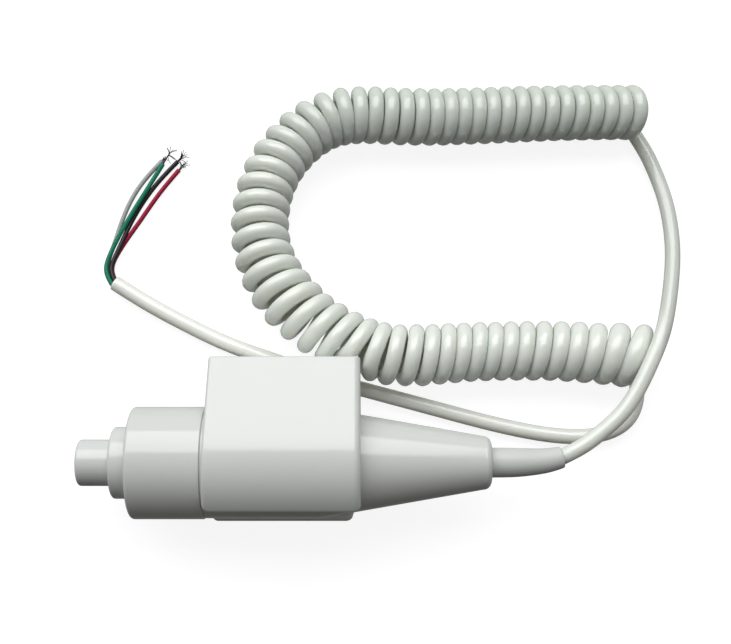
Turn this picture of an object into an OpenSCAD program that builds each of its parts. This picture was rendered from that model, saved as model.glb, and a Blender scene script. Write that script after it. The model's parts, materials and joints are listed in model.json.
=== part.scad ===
// Hand-held two-stage push-button switch with a curly cord, lying in its C-shaped wall holder.
// +X runs from the button to the cord end of the handle, +Z is up, and the origin is below the
// middle of the handle and holder, on the surface that they lie on.

/* [Handle] */
// Outer diameter of the front cap
cap_d = 35; // [34.8:0.1:35.2]
// Length of the front cap
cap_len = 23; // [22:0.5:24]
// Outer diameter of the tube behind the cap
tube_d = 34.4; // [34:0.1:34.6]
// Length of the straight tube
tube_len = 36; // [35:0.5:38]
// Length of the tapered tail
cone_len = 50.8; // [50:0.1:54]
// Diameter at the small end of the tail
cone_end_d = 16.8; // [16:0.1:18]
// Wall thickness of the housing
wall = 2.2; // [2:0.1:2.4]

/* [Buttons] */
// Diameter of the first-stage button
first_d = 14.5; // [14:0.1:15]
// How far the first-stage button stands out of the second-stage button
first_show = 11.2; // [10:0.1:12]
// Travel of the first-stage button
first_travel = 4; // [3.5:0.1:4]
// Diameter of the second-stage button
second_d = 22.4; // [22:0.1:22.6]
// How far the second-stage button stands out of the front cap
second_show = 6; // [5:0.1:7]
// Travel of the second-stage button
second_travel = 3; // [2.5:0.1:3]

/* [Holder] */
// Width of the holder along the handle
holder_w = 47.6; // [44:0.2:50]
// Wall thickness around the bore
holder_wall = 3.2; // [2.6:0.1:3.6]
// Distance from the handle's axis to the mounting face
holder_depth = 32; // [31:0.5:34]
// Slope of the holder's sides towards the mounting face, in degrees
holder_taper = 17.5; // [15:0.5:20]
// Where the upper lip ends, in degrees from the top of the bore
upper_lip_angle = 46.5; // [40:0.5:60]
// Where the lower lip ends, in degrees from the bottom of the bore
lower_lip_angle = 57; // [40:0.5:60]
// Distance between the two screw holes
screw_spacing = 30; // [24:1:32]
// Diameter of the screw holes
screw_hole_d = 4.2; // [3.5:0.1:4.5]

/* [Cord] */
// Diameter of the cord's jacket
cord_d = 5; // [4.8:0.1:5.2]
// Diameter of the solid that stands for the curly section
curl_d = 18.4; // [17:0.1:18.6]
// Diameter of an insulated wire in the cord
core_d = 1.35; // [1.2:0.05:1.4]

/* [Hidden] */
$fn = 96;

// Colours
shell_white = [0.86, 0.87, 0.84];
holder_white = [0.92, 0.93, 0.92];
cord_grey = [0.80, 0.83, 0.79];
frame_grey = [0.55, 0.57, 0.58];
switch_black = [0.10, 0.10, 0.11];
plunger_red = [0.65, 0.12, 0.10];
steel = [0.72, 0.73, 0.74];
brass = [0.80, 0.66, 0.35];

// Stations along the handle
tail_round = 2.4;
total_len = first_show + second_show + cap_len + tube_len + cone_len + tail_round;
x_tip = -total_len / 2;
x_ring = x_tip + first_show;
x_face = x_ring + second_show;
x_seam = x_face + cap_len;
x_cone = x_seam + tube_len;
x_cone_end = x_cone + cone_len;
x_end = total_len / 2;

// Holder section, measured from the handle's axis
bore_r = cap_d / 2 + 0.3;
holder_r = bore_r + holder_wall;
lip_r = bore_r + holder_wall / 2;
lip_front = lip_r * sin(lower_lip_angle) + holder_wall / 2;
upper_lip_front = lip_r * sin(upper_lip_angle) + holder_wall / 2;
holder_x = 0.2;
lip_corner_r = 2.4;
lower_lip_cut = 2.4;
edge_r = 0.8;
// Tangent outlines are kept this far apart, so that they cross instead of only touching
blend_step = 0.01;
web_slot_near = bore_r + 3.2;
web_slot_far = holder_depth - 3;
web_slot_h = 15;
screw_access_r = 4.2;

// The handle's axis in the frame
axis_y = (lip_front - holder_depth) / 2;
axis_z = holder_r;

// Housing details
cap_front_wall = 3;
cap_bore_r = cap_d / 2 - wall;
spigot_len = 8;
spigot_r = cap_bore_r - 0.1;
spigot_bore_r = spigot_r - 2;
body_bore_r = tube_d / 2 - wall;
x_spigot = x_seam - spigot_len;
seal_r = 0.65;
seal_ring_r = spigot_r + 0.05 - seal_r;
x_seal = x_seam - 3;
neck_r = 4.4;
neck_len = 4;

// Fits between moving parts
button_gap = 0.2;
stop_gap = 0.3;
slide_gap = 0.15;

// Second-stage button and carriage
ring_lip = 3;
flange_t = 2;
x_ring_flange = x_face + cap_front_wall + stop_gap;
x_carriage = x_ring_flange + flange_t;
x_carriage_back = x_carriage + flange_t;
x_button_flange = x_ring + ring_lip + stop_gap;
ring_bore_r = first_d / 2 + button_gap;
ring_pocket_r = 9.6;
ring_flange_r = 13.4;
carriage_r = 10.6;
plate_half = 9.3;
plate_t = 2;

// Micro switches: measured from the lever's hinge line, with the plunger side towards -X
case_front = 1.1;
case_len = 10.2;
case_half = 9.9;
case_half_t = 3.2;
hinge_y = -8;
lever_len = 9.7;
lever_t = 0.4;
lever_curl_r = 0.95;
lever_pin_r = 0.5;
plunger_y = -5;
plunger_r = 0.9;
terminal_len = 5.5;
terminal_ys = [-7.5, 1, 8];
switch_screw_x = case_front + 7.3;
switch_screw_half = 4.75;
screw_r = 1.1;
screw_hole_gap = 0.05;
screw_head_r = 2;
screw_head_h = 1.3;
nose_r = 1.2;
nose_offset = nose_r + 0.4 + lever_t / 2;
prep_lever_angle = 27;
exposure_lever_angle = 21.6;

// Distance from the lever's hinge line to the centre of the nose that pushes it
function nose_distance(angle) = (nose_offset - hinge_y * sin(angle)) / cos(angle);

x_prep_nose = x_carriage_back - 0.4;
x_prep = x_prep_nose + nose_distance(prep_lever_angle);
x_bridge = x_prep + case_front + case_len + terminal_len + 1;
bridge_t = 2;
x_exposure_nose = x_bridge + bridge_t + 2.6;
x_exposure = x_exposure_nose + nose_distance(exposure_lever_angle);
prep_plunger_tip = -0.7;
exposure_plunger_tip = -0.47;
plunger_len = 4.6;

// Chassis
chassis_ring_t = 2;
x_chassis = x_spigot - chassis_ring_t;
chassis_ring_bore_r = 11;
rail_in = 10.9;
rail_out = 12.6;
rail_half_h = 3;
x_rail_end = x_exposure + case_front + case_len + 7;
shelf_half = 11.8;
tongue_half = 6.3;
x_tongue_end = x_cone + 35;

// Cable clamp
x_clamp = x_cone + 27;
clamp_len = 6;
clamp_half = 6.2;
clamp_top = 4.2;
clamp_screw_half = 4.5;
x_jacket = x_clamp - 4;

// Springs
outer_coil_r = 12.2;
outer_wire_r = 0.45;
inner_coil_r = 6.2;
inner_wire_r = 0.3;
spring_turns = 3;
spring_steps = 16;

// Strain relief: a retained neck, then a sleeve that bends with the cord
relief_flange_r = 6;
relief_start_r = 4.7;
relief_end_r = 3.45;
relief_route = [[64.7, -7, 21], [71, -7, 21], [77.4, -6.8, 21], [83, -6.2, 21], [87, -5.3, 21]];

// Routes of the free cord, chosen by hand
lead_route = [
    [87, -5.3, 21], [94, -1.6, 21], [100, 2.8, 21], [106.4, 8.6, 21.1], [111.4, 15.6, 21.3],
    [116, 24.4, 21.4], [120, 33.4, 20.8], [123.2, 43.5, 17.8], [125.6, 53.5, 14.2],
    [127.2, 63, 10.8], [127.7, 72, 7.8], [127.2, 80.5, 5.4], [125.8, 88, 3.7],
    [123.6, 95, 2.9], [120.6, 101.8, 2.6], [117.8, 108.6, 2.6]
];
curl_route = [
    [118, 112, 9.3], [76, 111.5, 9.3], [32, 111, 9.3],
    [21, 110.8, 9.3], [12, 108.5, 9.3], [4, 103.5, 9.3], [-3, 96.5, 9.3], [-7.5, 88, 9.3],
    [-10, 79, 9.3], [-10, 70, 9.3], [-8, 61, 9.3], [-4, 53, 9.3], [1.5, 46, 9.3],
    [7, 42.4, 9.3], [15, 39.6, 9.3], [23.5, 37, 9.3], [32.5, 34.2, 9.3], [44, 31.4, 9.3],
    [60, 30, 9.3], [115, 30, 9.3]
];
tail_route = [
    [114.5, 28, 2.6], [115.6, 21, 2.6], [115.2, 15.6, 2.6], [112.6, 9, 2.6], [108, 5.2, 2.6],
    [102, 3.2, 2.6], [95, 2.6, 2.6], [86, 3.2, 2.6], [76, 4.9, 2.6], [62, 8.2, 2.6],
    [46, 12.5, 2.6], [30, 16.8, 2.6], [12, 22, 2.6], [-6, 28.2, 2.6], [-20, 33.2, 2.6],
    [-34, 39.8, 2.6], [-47, 46.8, 2.6], [-59.1, 54.3, 2.6]
];
grey_route = [
    [-59.8, 53.6, 1.7], [-62, 60, 1], [-60.6, 66.5, 0.8], [-57.6, 76.6, 0.8],
    [-52.4, 88, 0.8], [-44.6, 97.7, 0.8]
];
green_route = [
    [-59.8, 53.6, 3.5], [-62, 58.6, 3.1], [-61, 64, 2.7], [-55.5, 76, 2.3],
    [-48, 89.5, 1.8], [-44.2, 96.3, 1.6]
];
black_route = [
    [-58.9, 54.9, 3.5], [-60.3, 58.6, 2.9], [-59, 64, 2.5], [-54.4, 76, 0.9],
    [-46.5, 89, 0.9], [-39.3, 97.3, 0.9]
];
red_route = [
    [-58.9, 54.9, 1.7], [-60.4, 59.5, 1.2], [-58.9, 64.5, 0.8], [-52, 75.6, 0.8],
    [-45, 86.3, 0.8], [-38.7, 94.4, 0.8]
];
wire_routes = [grey_route, green_route, black_route, red_route];
strand_len = 2.5;
strand_r = 0.4;

// Leads inside the handle, measured from its axis
lead_core_r = 0.6;
lead_y = 6.6;
prep_lead_route = [
    [x_bridge - 3, lead_y, 0], [x_bridge + 2, lead_y, 3.4], [x_bridge + 8, lead_y, 6],
    [x_cone - 4, lead_y, 6], [x_cone + 10, 3, 4], [x_jacket, 1, 0.9]
];
exposure_lead_route = [
    [x_rail_end - 4, lead_y, 0], [x_rail_end + 2, lead_y, 0], [x_cone + 12, 3, 0],
    [x_jacket, 1, -0.9]
];

// Sweeping helpers
function unit(v) = v / norm(v);
function heading(path, i) =
    unit(path[min(i + 1, len(path) - 1)] - path[max(i - 1, 0)]);
function ring(centre, dir, radius, sides, ref) =
    let (side = unit(cross(dir, ref)), top = cross(side, dir))
    [for (k = [0 : sides - 1])
        centre + radius * (cos(360 * k / sides) * side + sin(360 * k / sides) * top)];
function mirrored(path) = [for (p = path) [p[0], -p[1], p[2]]];
function helix(x_start, x_stop, radius, turns, steps) =
    [for (i = [0 : turns * steps])
        [x_start + (x_stop - x_start) * i / (turns * steps),
         radius * cos(360 * i / steps), radius * sin(360 * i / steps)]];

// A tube along a path, with one radius for each point
module sweep(path, radii, sides, ref = [0, 0, 1]) {
    count = len(path);
    points = [for (i = [0 : count - 1])
        each ring(path[i], heading(path, i), radii[i], sides, ref)];
    walls = [for (i = [0 : count - 2], k = [0 : sides - 1])
        let (a = i * sides + k, b = i * sides + (k + 1) % sides)
        [a, b, b + sides, a + sides]];
    first_end = [for (k = [sides - 1 : -1 : 0]) k];
    last_end = [for (k = [0 : sides - 1]) (count - 1) * sides + k];
    polyhedron(points = points, faces = concat([first_end], walls, [last_end]), convexity = 6);
}

module tube(path, radius, sides) {
    sweep(path, [for (p = path) radius], sides);
}

module on_axis() {
    translate([0, axis_y, axis_z]) children();
}

// A turned part: the outline's points are [radius, station]
module turned(outline) {
    on_axis() rotate([0, 90, 0]) rotate_extrude() polygon(outline);
}

// A quarter round between a face and a side, for turned outlines
function front_round(x, outer_r, r) =
    [for (a = [0 : 15 : 90]) [outer_r - r + r * sin(a), x + r - r * cos(a)]];

// Housing
module front_cap() {
    color(shell_white)
    turned(concat(
        [[second_d / 2 + slide_gap, x_face]],
        front_round(x_face, cap_d / 2, 1.2),
        [[cap_d / 2, x_seam - 0.3], [cap_d / 2 - 0.3, x_seam], [cap_bore_r, x_seam],
         [cap_bore_r, x_face + cap_front_wall],
         [second_d / 2 + slide_gap, x_face + cap_front_wall]]));
}

module seal_ring() {
    color(switch_black)
    on_axis() translate([x_seal, 0, 0]) rotate([0, 90, 0])
        rotate_extrude() translate([seal_ring_r, 0]) circle(seal_r, $fn = 24);
}

module rear_body() {
    groove_r = seal_ring_r - seal_r;
    groove_half = seal_r + 0.15;
    color(shell_white)
    turned(concat(
        [[spigot_bore_r, x_spigot], [spigot_r, x_spigot],
         [spigot_r, x_seal - groove_half], [groove_r, x_seal - groove_half],
         [groove_r, x_seal + groove_half], [spigot_r, x_seal + groove_half],
         [spigot_r, x_seam], [tube_d / 2 - 0.2, x_seam], [tube_d / 2, x_seam + 0.2],
         [tube_d / 2, x_cone]],
        [for (a = [0 : 15 : 90])
            [cone_end_d / 2 - tail_round + tail_round * cos(a),
             x_cone_end + tail_round * sin(a)]],
        [[neck_r, x_end], [neck_r, x_end - neck_len],
         [cone_end_d / 2 - wall, x_end - neck_len],
         [body_bore_r, x_cone], [body_bore_r, x_seam], [spigot_bore_r, x_seam - 1]]));
}

module chassis() {
    color(frame_grey)
    difference() {
        on_axis() {
            translate([x_chassis, 0, 0]) rotate([0, 90, 0])
                difference() {
                    cylinder(r = spigot_r, h = chassis_ring_t);
                    translate([0, 0, -1]) cylinder(r = chassis_ring_bore_r, h = chassis_ring_t + 2);
                }
            for (side = [-1, 1])
                translate([x_chassis + 1, side * (rail_in + rail_out) / 2 - (rail_out - rail_in) / 2,
                           -rail_half_h])
                    cube([x_rail_end - x_chassis - 1, rail_out - rail_in, 2 * rail_half_h]);
            translate([x_exposure + case_front, -shelf_half, -case_half_t - plate_t])
                cube([x_rail_end - x_exposure - case_front, 2 * shelf_half, plate_t]);
            translate([x_rail_end - 1, -tongue_half, -case_half_t - plate_t])
                cube([x_tongue_end - x_rail_end + 1, 2 * tongue_half, plate_t]);
            for (side = [-1, 1])
                translate([x_exposure + case_front, side * (rail_in + 0.45) - 0.45,
                           -case_half_t - plate_t])
                    cube([x_rail_end - x_exposure - case_front, 0.9, plate_t + 1]);
        }
        switch_screw_holes(x_exposure);
        clamp_screw_holes();
    }
}

// Micro switches
module at_switch(x) {
    translate([x, axis_y, axis_z]) children();
}

module switch_screw_holes(x) {
    at_switch(x)
        for (side = [-1, 1])
            translate([switch_screw_x, side * switch_screw_half, -10])
                cylinder(r = screw_r + screw_hole_gap, h = 20, $fn = 32);
}

module switch_case(x) {
    ear_t = 0.7;
    color(switch_black)
    difference() {
        at_switch(x) {
            translate([case_front, -case_half, -case_half_t])
                cube([case_len, 2 * case_half, 2 * case_half_t]);
            for (z = [-case_half_t, case_half_t - ear_t])
                translate([-1.2, hinge_y - 1.2, z])
                    cube([case_front + 1.7, 2.4, ear_t]);
        }
        switch_screw_holes(x);
        at_switch(x) {
            translate([case_front - 1, plunger_y, 0]) rotate([0, 90, 0])
                cylinder(r = plunger_r + 0.08, h = 5.6, $fn = 32);
            translate([0, hinge_y, -5]) cylinder(r = lever_pin_r, h = 10, $fn = 32);
        }
    }
}

module switch_terminals(x) {
    color(brass)
    at_switch(x)
        for (y = terminal_ys)
            translate([case_front + case_len, y - 0.25, 0])
                difference() {
                    translate([0, 0, -1.6]) cube([terminal_len, 0.5, 3.2]);
                    translate([terminal_len - 1.6, 1, 0]) rotate([90, 0, 0])
                        cylinder(r = 0.6, h = 2, $fn = 32);
                }
}

module switch_lever_pin(x) {
    color(steel)
    at_switch(x) translate([0, hinge_y, -case_half_t])
        cylinder(r = lever_pin_r, h = 2 * case_half_t, $fn = 32);
}

module switch_lever(x, angle) {
    curl_half = 2.3;
    blade_half = 2;
    color(steel)
    at_switch(x) translate([0, hinge_y, 0]) rotate([0, 0, angle])
        difference() {
            union() {
                cylinder(r = lever_curl_r, h = 2 * curl_half, center = true, $fn = 32);
                translate([-lever_t / 2, 0, -blade_half])
                    cube([lever_t, lever_len + 0.8, 2 * blade_half]);
            }
            cylinder(r = lever_pin_r + 0.05, h = 10, center = true, $fn = 32);
        }
}

module switch_plunger(x, tip) {
    color(plunger_red)
    at_switch(x) translate([tip, plunger_y, 0]) rotate([0, 90, 0])
        cylinder(r = plunger_r, h = plunger_len, $fn = 32);
}

module pan_screw(length) {
    cylinder(r = screw_head_r, h = screw_head_h, $fn = 32);
    translate([0, 0, -length]) cylinder(r = screw_r, h = length + 0.2, $fn = 32);
}

module switch_screws(x) {
    color(steel)
    at_switch(x)
        for (side = [-1, 1])
            translate([switch_screw_x, side * switch_screw_half, case_half_t])
                pan_screw(2 * case_half_t + plate_t - 0.2);
}

module exposure_switch() { switch_case(x_exposure); }
module exposure_terminals() { switch_terminals(x_exposure); }
module exposure_lever_pin() { switch_lever_pin(x_exposure); }
module exposure_screws() { switch_screws(x_exposure); }
module exposure_lever() { switch_lever(x_exposure, exposure_lever_angle); }
module exposure_plunger() { switch_plunger(x_exposure, exposure_plunger_tip); }
module prep_switch() { switch_case(x_prep); }
module prep_terminals() { switch_terminals(x_prep); }
module prep_lever_pin() { switch_lever_pin(x_prep); }
module prep_screws() { switch_screws(x_prep); }
module prep_lever() { switch_lever(x_prep, prep_lever_angle); }
module prep_plunger() { switch_plunger(x_prep, prep_plunger_tip); }

// Buttons
module pushing_nose(x_from, x_centre) {
    translate([x_from, 0, 0]) rotate([0, 90, 0])
        cylinder(r = nose_r, h = x_centre - x_from, $fn = 32);
    translate([x_centre, 0, 0]) sphere(r = nose_r, $fn = 32);
}

module first_stage_button() {
    stem_r = 2.5;
    x_stem_end = x_carriage - 0.5;
    crown = 0.35;
    color(shell_white) {
        turned(concat(
            [[0, x_tip], [3.5, x_tip + crown / 4]],
            front_round(x_tip + crown, first_d / 2, 1),
            [[first_d / 2, x_button_flange], [ring_pocket_r - slide_gap, x_button_flange],
             [ring_pocket_r - slide_gap, x_button_flange + flange_t],
             [stem_r, x_button_flange + flange_t], [stem_r, x_stem_end], [0, x_stem_end]]));
        on_axis() pushing_nose(x_stem_end - 0.2, x_prep_nose);
    }
}

module second_stage_button() {
    color(shell_white)
    turned(concat(
        [[ring_bore_r, x_ring]],
        front_round(x_ring, second_d / 2, 1),
        [[second_d / 2, x_ring_flange], [ring_flange_r, x_ring_flange],
         [ring_flange_r, x_carriage], [ring_pocket_r, x_carriage],
         [ring_pocket_r, x_ring + ring_lip], [ring_bore_r, x_ring + ring_lip]]));
}

module carriage() {
    bridge_half = 3;
    bridge_top = 2;
    color(frame_grey)
    difference() {
        on_axis() {
            translate([x_carriage, 0, 0]) rotate([0, 90, 0])
                difference() {
                    cylinder(r = carriage_r, h = flange_t);
                    translate([0, 0, -1]) cylinder(r = 2.9, h = flange_t + 2);
                }
            translate([x_carriage + 1, -plate_half, -case_half_t - plate_t])
                cube([x_bridge + bridge_t - x_carriage - 1, 2 * plate_half, plate_t]);
            translate([x_bridge, -bridge_half, -case_half_t - plate_t])
                cube([bridge_t, 2 * bridge_half, case_half_t + plate_t + bridge_top]);
            pushing_nose(x_bridge + 1, x_exposure_nose);
        }
        switch_screw_holes(x_prep);
    }
}

// Return springs
module coil_spring(x_start, x_stop, coil_r, wire_r) {
    path = helix(x_start + wire_r + 0.05, x_stop - wire_r - 0.05, coil_r, spring_turns, spring_steps);
    color(steel)
    on_axis() sweep(path, [for (p = path) wire_r], 6, [1, 0, 0]);
}

module first_stage_spring() {
    coil_spring(x_button_flange + flange_t, x_carriage, inner_coil_r, inner_wire_r);
}

module second_stage_spring() {
    coil_spring(x_carriage, x_chassis, outer_coil_r, outer_wire_r);
}

// Cord inside the handle
module clamp_screw_holes() {
    on_axis()
        for (side = [-1, 1])
            translate([x_clamp + clamp_len / 2, side * clamp_screw_half, -10])
                cylinder(r = screw_r + screw_hole_gap, h = 20, $fn = 32);
}

module cable_clamp() {
    color(frame_grey)
    difference() {
        on_axis() translate([x_clamp, -clamp_half, -case_half_t])
            cube([clamp_len, 2 * clamp_half, case_half_t + clamp_top]);
        on_axis() translate([x_clamp - 1, 0, 0]) rotate([0, 90, 0])
            cylinder(d = cord_d, h = clamp_len + 2, $fn = 48);
        clamp_screw_holes();
    }
}

module clamp_screws() {
    color(steel)
    on_axis()
        for (side = [-1, 1])
            translate([x_clamp + clamp_len / 2, side * clamp_screw_half, clamp_top])
                pan_screw(clamp_top + case_half_t + plate_t - 0.2);
}

module inner_cord() {
    x_flange = x_end - neck_len - flange_t;
    color(cord_grey)
    on_axis() translate([x_jacket, 0, 0]) rotate([0, 90, 0])
        cylinder(d = cord_d, h = x_flange - x_jacket, $fn = 48);
}

module lead_pair(route) {
    on_axis() {
        tube(route, lead_core_r, 8);
        tube(mirrored(route), lead_core_r, 8);
    }
}

module prep_leads() { color(plunger_red) lead_pair(prep_lead_route); }
module exposure_leads() { color(switch_black) lead_pair(exposure_lead_route); }

// Extrudes an outline along the handle, centred on the holder
module across(width) {
    translate([-width / 2, 0, 0]) rotate([90, 0, 90])
        linear_extrude(width) children();
}

// The holder's outline from the end: a thick round wall and a body that narrows to the wall plate
module holder_outline(width) {
    flat_r = holder_r + blend_step;
    start_y = flat_r * sin(holder_taper);
    start_z = flat_r * cos(holder_taper);
    neck_y = holder_depth - edge_r;
    neck_z = (flat_r - edge_r - neck_y * sin(holder_taper)) / cos(holder_taper);
    side_y = neck_y + edge_r * sin(holder_taper);
    side_z = neck_z + edge_r * cos(holder_taper);
    across(width) circle(holder_r);
    across(width) polygon([
        [0, 0], [start_y, start_z],
        [side_y, side_z], [neck_y, neck_z], [holder_depth, neck_z],
        [holder_depth, -neck_z], [neck_y, -neck_z], [side_y, -side_z],
        [start_y, -start_z]]);
    for (side = [-1, 1])
        across(width) translate([neck_y, side * neck_z])
            circle(edge_r - blend_step, $fn = 32);
}

// The bore, the mouth between the lips and the slot through the web
module holder_openings(width) {
    reach = 2 * holder_r;
    across(width) circle(bore_r);
    across(width) polygon([
        [0, 0],
        [-reach * sin(upper_lip_angle), reach * cos(upper_lip_angle)],
        [-reach, reach * cos(upper_lip_angle)],
        [-reach, -reach * cos(lower_lip_angle)],
        [-reach * sin(lower_lip_angle), -reach * cos(lower_lip_angle)]]);
    across(width) translate([web_slot_near, -web_slot_h / 2])
        square([web_slot_far - web_slot_near, web_slot_h]);
}

// A round edge along the end of a lip, at an angle from the top or the bottom of the bore
module lip_end(width, angle, side) {
    across(width) translate([-lip_r * sin(angle), side * lip_r * cos(angle)])
        circle(holder_wall / 2 - blend_step, $fn = 32);
}

// A block with the holder's plan, with its two corners rounded at the lip, which can be cut
// back at a slant at the cord end
module holder_plan(front, low, high, cut = 0) {
    half = holder_w / 2;
    start = -front + lip_corner_r;
    tall = high - low;
    translate([0, 0, low]) {
        linear_extrude(tall)
            polygon([
                [-half, start], [half - cut, start], [half, start + 4 * cut],
                [half, holder_depth + 1], [-half, holder_depth + 1]]);
        translate([-half + lip_corner_r, -front, 0])
            cube([holder_w - cut - 2 * lip_corner_r, 2 * lip_corner_r, tall]);
        for (x = [-half + lip_corner_r, half - cut - lip_corner_r])
            translate([x, start, 0]) cylinder(r = lip_corner_r - blend_step, h = tall, $fn = 48);
    }
}

// Wall holder
module holder() {
    tall = 2 * holder_r;
    wide = holder_w + 2;
    color(holder_white)
    translate([holder_x, axis_y, axis_z])
        difference() {
            intersection() {
                union() {
                    difference() {
                        holder_outline(wide);
                        holder_openings(wide + 2);
                    }
                    lip_end(wide, upper_lip_angle, 1);
                    lip_end(wide, lower_lip_angle, -1);
                }
                union() {
                    holder_plan(upper_lip_front + 0.02, -1, tall);
                    holder_plan(lip_front + 0.02, -tall, 0, lower_lip_cut);
                }
            }
            for (side = [-1, 1])
                translate([side * screw_spacing / 2, 0, 0]) rotate([-90, 0, 0]) {
                    cylinder(d = screw_hole_d, h = holder_depth + 1, $fn = 48);
                    cylinder(r = screw_access_r, h = web_slot_near + 1, $fn = 48);
                }
        }
}

// Free cord
module strain_relief() {
    last = len(relief_route) - 1;
    radii = [for (i = [0 : last])
        relief_start_r + (relief_end_r - relief_start_r) * i / last];
    color(cord_grey) {
        on_axis() translate([x_end - neck_len - flange_t, 0, 0]) rotate([0, 90, 0]) {
            cylinder(r = relief_flange_r, h = flange_t);
            cylinder(r = neck_r - 0.05, h = flange_t + neck_len + 1, $fn = 48);
        }
        sweep(relief_route, radii, 12);
    }
}

module cord_lead() { color(cord_grey) tube(lead_route, cord_d / 2, 8); }
module cord_curl() { color(cord_grey) tube(curl_route, curl_d / 2, 12); }
module cord_tail() { color(cord_grey) tube(tail_route, cord_d / 2, 8); }
module wire_grey() { color([0.72, 0.72, 0.72]) tube(grey_route, core_d / 2, 8); }
module wire_green() { color([0.0, 0.45, 0.32]) tube(green_route, core_d / 2, 8); }
module wire_black() { color([0.08, 0.08, 0.09]) tube(black_route, core_d / 2, 8); }
module wire_red() { color([0.65, 0.08, 0.18]) tube(red_route, core_d / 2, 8); }

module bare_strands() {
    color(steel)
    for (route = wire_routes) {
        last = len(route) - 1;
        dir = heading(route, last);
        tube([route[last], route[last] + strand_len * dir], strand_r, 8);
    }
}

front_cap();
seal_ring();
rear_body();
chassis();
second_stage_spring();
exposure_switch();
exposure_terminals();
exposure_lever_pin();
exposure_screws();
exposure_lever();
exposure_plunger();
first_stage_button();
first_stage_spring();
second_stage_button();
carriage();
prep_switch();
prep_terminals();
prep_lever_pin();
prep_screws();
prep_lever();
prep_plunger();
cable_clamp();
clamp_screws();
inner_cord();
prep_leads();
exposure_leads();
holder();
strain_relief();
cord_lead();
cord_curl();
cord_tail();
wire_grey();
wire_green();
wire_black();
wire_red();
bare_strands();
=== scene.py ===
"""The looks of a hand-held two-stage push-button switch, with its curly cord and its wall holder."""

import json
import math
import random

import bmesh
import bpy
import numpy as np
from mathutils import Matrix, Vector, noise


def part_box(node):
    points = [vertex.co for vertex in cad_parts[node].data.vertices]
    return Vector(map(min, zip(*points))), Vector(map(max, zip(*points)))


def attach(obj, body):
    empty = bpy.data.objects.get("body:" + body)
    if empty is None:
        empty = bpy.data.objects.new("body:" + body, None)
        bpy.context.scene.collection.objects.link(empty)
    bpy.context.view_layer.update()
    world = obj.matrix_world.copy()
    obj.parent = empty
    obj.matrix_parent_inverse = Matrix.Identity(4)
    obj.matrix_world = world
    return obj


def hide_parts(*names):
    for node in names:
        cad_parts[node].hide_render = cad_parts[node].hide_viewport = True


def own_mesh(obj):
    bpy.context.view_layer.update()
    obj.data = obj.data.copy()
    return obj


MM = 0.001
HANDLE = "handle"

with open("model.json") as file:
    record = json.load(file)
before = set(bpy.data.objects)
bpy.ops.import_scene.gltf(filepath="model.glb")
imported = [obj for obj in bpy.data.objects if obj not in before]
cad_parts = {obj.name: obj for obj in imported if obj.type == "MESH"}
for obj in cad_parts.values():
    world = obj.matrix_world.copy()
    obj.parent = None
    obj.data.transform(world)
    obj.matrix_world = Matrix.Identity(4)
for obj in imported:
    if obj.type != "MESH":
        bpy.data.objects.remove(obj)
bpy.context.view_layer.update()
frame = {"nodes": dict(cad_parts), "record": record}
nodes = frame["nodes"]
scene = bpy.context.scene


# ---------------------------------------------------------------- camera
def add_camera():
    """Looks down at the object, 10 degrees from the vertical, from the side of the buttons' near edge."""
    data = bpy.data.cameras.new("camera")
    data.sensor_width = 36
    data.lens = 60.18
    data.clip_start = 0.01
    data.clip_end = 20
    camera = bpy.data.objects.new("camera", data)
    camera.location = Vector((25.4, -30.13, 405.73)) * MM
    camera.rotation_euler = (math.radians(10), 0, 0)
    scene.collection.objects.link(camera)
    scene.camera = camera


add_camera()


# ---------------------------------------------------------------- curves and tubes
def spline(points, step):
    """Points about a step apart on the smoothest curve through the given ones, as an array."""
    p = np.array(points, float)
    knots = np.r_[0, np.cumsum(np.linalg.norm(np.diff(p, axis=0), axis=1))]
    h = np.diff(knots)
    count = len(p)
    matrix = np.eye(count)
    right = np.zeros_like(p)
    for i in range(1, count - 1):
        matrix[i, i - 1:i + 2] = h[i - 1], 2 * (h[i - 1] + h[i]), h[i]
        right[i] = 6 * ((p[i + 1] - p[i]) / h[i] - (p[i] - p[i - 1]) / h[i - 1])
    bend = np.linalg.solve(matrix, right)
    t = np.linspace(0, knots[-1], max(8, int(round(knots[-1] / step)) * 4))
    i = np.clip(np.searchsorted(knots, t) - 1, 0, count - 2)
    a, b, w = ((knots[i + 1] - t)[:, None], (t - knots[i])[:, None], h[i][:, None])
    fine = (bend[i] * a**3 + bend[i + 1] * b**3) / (6 * w)
    fine += (p[i] / w - bend[i] * w / 6) * a + (p[i + 1] / w - bend[i + 1] * w / 6) * b
    return even(fine, step)


def even(path, step):
    """The same path with its points evenly spaced."""
    length = np.r_[0, np.cumsum(np.linalg.norm(np.diff(path, axis=0), axis=1))]
    marks = np.linspace(0, length[-1], max(2, int(round(length[-1] / step)) + 1))
    return np.stack([np.interp(marks, length, path[:, k]) for k in range(path.shape[1])], 1)


def path_length(path):
    return float(np.linalg.norm(np.diff(path, axis=0), axis=1).sum())


def headings(path):
    d = np.gradient(path, axis=0)
    return d / np.linalg.norm(d, axis=1)[:, None]

def ring_faces(rings, sides):
    """Quads between rings of vertices, and a face across each end."""
    faces = []
    for ring in range(rings - 1):
        for k in range(sides):
            a, b = ring * sides + k, ring * sides + (k + 1) % sides
            faces.append((a, b, b + sides, a + sides))
    last = (rings - 1) * sides
    return faces + [tuple(range(sides - 1, -1, -1)), tuple(range(last, last + sides))]


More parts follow.
